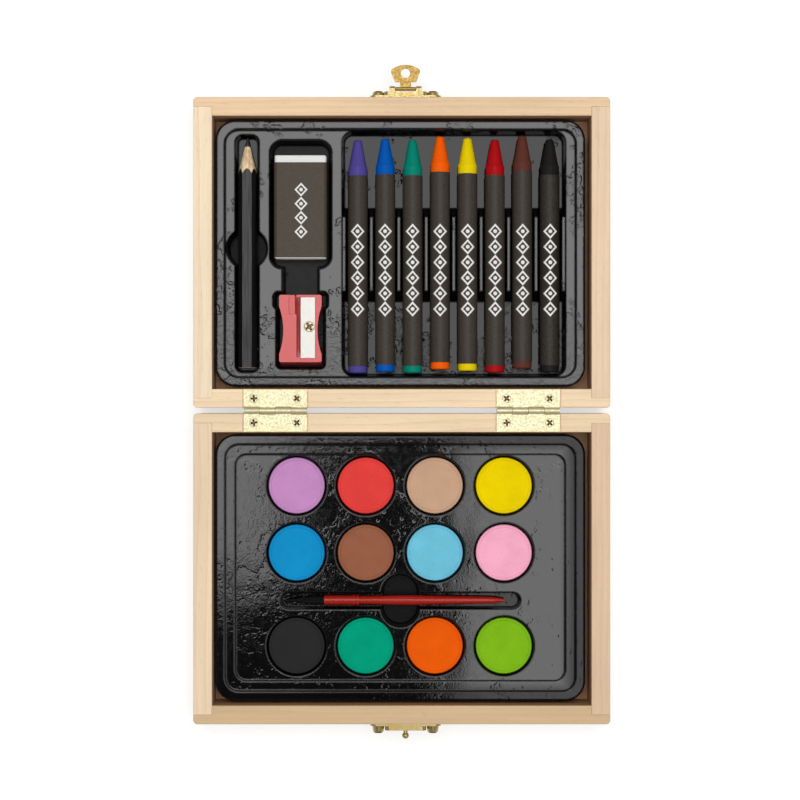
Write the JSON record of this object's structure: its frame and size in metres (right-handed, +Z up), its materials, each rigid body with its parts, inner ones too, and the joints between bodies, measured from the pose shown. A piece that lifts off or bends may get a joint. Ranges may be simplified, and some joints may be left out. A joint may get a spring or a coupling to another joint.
{
  "type": "hinged wooden art box",
  "caption": "Hinged wooden art box lying open: paint tablets and a brush in the base tray; crayons, pencil, eraser and sharpener in the lid tray.",
  "frame": {"origin": "centre of the underside of the base half", "axes": "+Z up out of the open box, +Y from the base half over the hinges to the lid half, X along the hinge pins"},
  "size_m": [0.165, 0.2674, 0.0214],
  "materials": {
    "pine": "sanded, unvarnished",
    "tray_plastic": "gloss",
    "brass_plate": "bright plated",
    "brass_screw": "bright plated",
    "hinge_pin": "bright plated",
    "blade_steel": "ground",
    "screw_steel": "plated",
    "sharpener_plastic": "semi-gloss",
    "brush_plastic": "semi-gloss",
    "bristles": "soft hair",
    "pencil_paint": "gloss paint",
    "pencil_graphite": "graphite",
    "eraser_vinyl": "matte",
    "card_sleeve": "matte card",
    "wrapper_paper": "matte paper",
    "lilac_pigment": "chalky",
    "red_pigment": "chalky",
    "tan_pigment": "chalky",
    "yellow_pigment": "chalky",
    "blue_pigment": "chalky",
    "brown_pigment": "chalky",
    "sky_pigment": "chalky",
    "pink_pigment": "chalky",
    "black_pigment": "chalky",
    "green_pigment": "chalky",
    "orange_pigment": "chalky",
    "lime_pigment": "chalky",
    "violet_wax": "waxy",
    "blue_wax": "waxy",
    "green_wax": "waxy",
    "orange_wax": "waxy",
    "yellow_wax": "waxy",
    "red_wax": "waxy",
    "brown_wax": "waxy",
    "black_wax": "waxy"
  },
  "bodies": {
    "base": {"base_panel": "pine", "base_front_rail": "pine", "base_hinge_rail": "pine", "base_left_rail": "pine", "base_right_rail": "pine", "paint_tray": "tray_plastic", "base_hinge_leaves": "brass_plate", "base_hinge_screws": "brass_screw", "hinge_pins": "hinge_pin", "catch_plate": "brass_plate", "catch_post": "brass_plate", "catch_screws": "brass_screw", "lilac_paint": "lilac_pigment", "red_paint": "red_pigment", "tan_paint": "tan_pigment", "yellow_paint": "yellow_pigment", "blue_paint": "blue_pigment", "brown_paint": "brown_pigment", "sky_paint": "sky_pigment", "pink_paint": "pink_pigment", "black_paint": "black_pigment", "green_paint": "green_pigment", "orange_paint": "orange_pigment", "lime_paint": "lime_pigment"},
    "lid": {"lid_panel": "pine", "lid_front_rail": "pine", "lid_hinge_rail": "pine", "lid_left_rail": "pine", "lid_right_rail": "pine", "drawing_tray": "tray_plastic", "lid_hinge_leaves": "brass_plate", "lid_hinge_screws": "brass_screw", "hasp_plate": "brass_plate", "hasp_screws": "brass_screw"},
    "tab": {"hasp_tab": "brass_plate"},
    "violet_crayon_stick": {"violet_crayon": "violet_wax", "violet_wrapper": "wrapper_paper"},
    "blue_crayon_stick": {"blue_crayon": "blue_wax", "blue_wrapper": "wrapper_paper"},
    "green_crayon_stick": {"green_crayon": "green_wax", "green_wrapper": "wrapper_paper"},
    "orange_crayon_stick": {"orange_crayon": "orange_wax", "orange_wrapper": "wrapper_paper"},
    "yellow_crayon_stick": {"yellow_crayon": "yellow_wax", "yellow_wrapper": "wrapper_paper"},
    "red_crayon_stick": {"red_crayon": "red_wax", "red_wrapper": "wrapper_paper"},
    "brown_crayon_stick": {"brown_crayon": "brown_wax", "brown_wrapper": "wrapper_paper"},
    "black_crayon_stick": {"black_crayon": "black_wax", "black_wrapper": "wrapper_paper"},
    "pencil": {"pencil_barrel": "pencil_paint", "pencil_lead": "pencil_graphite"},
    "eraser": {"eraser_block": "eraser_vinyl", "eraser_sleeve": "card_sleeve"},
    "sharpener": {"sharpener_body": "sharpener_plastic", "sharpener_blade": "blade_steel", "sharpener_screw": "screw_steel"},
    "brush": {"brush_handle": "brush_plastic", "brush_bristles": "bristles"}
  },
  "joints": [
    {"name": "lid_hinge", "type": "hinge", "parent": "base", "child": "lid", "pos_m": [0, 0.0626, 0.0201], "axis": [-1, 0, 0], "range_deg": [-180, 0]},
    {"name": "tab_pivot", "type": "hinge", "parent": "lid", "child": "tab", "pos_m": [0.0015, 0.1901, 0.0181], "axis": [-1, 0, 0], "range_deg": [-90, 90]},
    {"name": "violet_crayon_stick_lift", "type": "slide", "parent": "lid", "child": "violet_crayon_stick", "axis": [0, 0, 1], "range_m": [0, 0.03]},
    {"name": "blue_crayon_stick_lift", "type": "slide", "parent": "lid", "child": "blue_crayon_stick", "axis": [0, 0, 1], "range_m": [0, 0.03]},
    {"name": "green_crayon_stick_lift", "type": "slide", "parent": "lid", "child": "green_crayon_stick", "axis": [0, 0, 1], "range_m": [0, 0.03]},
    {"name": "orange_crayon_stick_lift", "type": "slide", "parent": "lid", "child": "orange_crayon_stick", "axis": [0, 0, 1], "range_m": [0, 0.03]},
    {"name": "yellow_crayon_stick_lift", "type": "slide", "parent": "lid", "child": "yellow_crayon_stick", "axis": [0, 0, 1], "range_m": [0, 0.03]},
    {"name": "red_crayon_stick_lift", "type": "slide", "parent": "lid", "child": "red_crayon_stick", "axis": [0, 0, 1], "range_m": [0, 0.03]},
    {"name": "brown_crayon_stick_lift", "type": "slide", "parent": "lid", "child": "brown_crayon_stick", "axis": [0, 0, 1], "range_m": [0, 0.03]},
    {"name": "black_crayon_stick_lift", "type": "slide", "parent": "lid", "child": "black_crayon_stick", "axis": [0, 0, 1], "range_m": [0, 0.03]},
    {"name": "pencil_lift", "type": "slide", "parent": "lid", "child": "pencil", "axis": [0, 0, 1], "range_m": [0, 0.03]},
    {"name": "eraser_lift", "type": "slide", "parent": "lid", "child": "eraser", "axis": [0, 0, 1], "range_m": [0, 0.03]},
    {"name": "sharpener_lift", "type": "slide", "parent": "lid", "child": "sharpener", "axis": [0, 0, 1], "range_m": [0, 0.03]},
    {"name": "brush_lift", "type": "slide", "parent": "base", "child": "brush", "axis": [0, 0, 1], "range_m": [0, 0.03]}
  ]
}
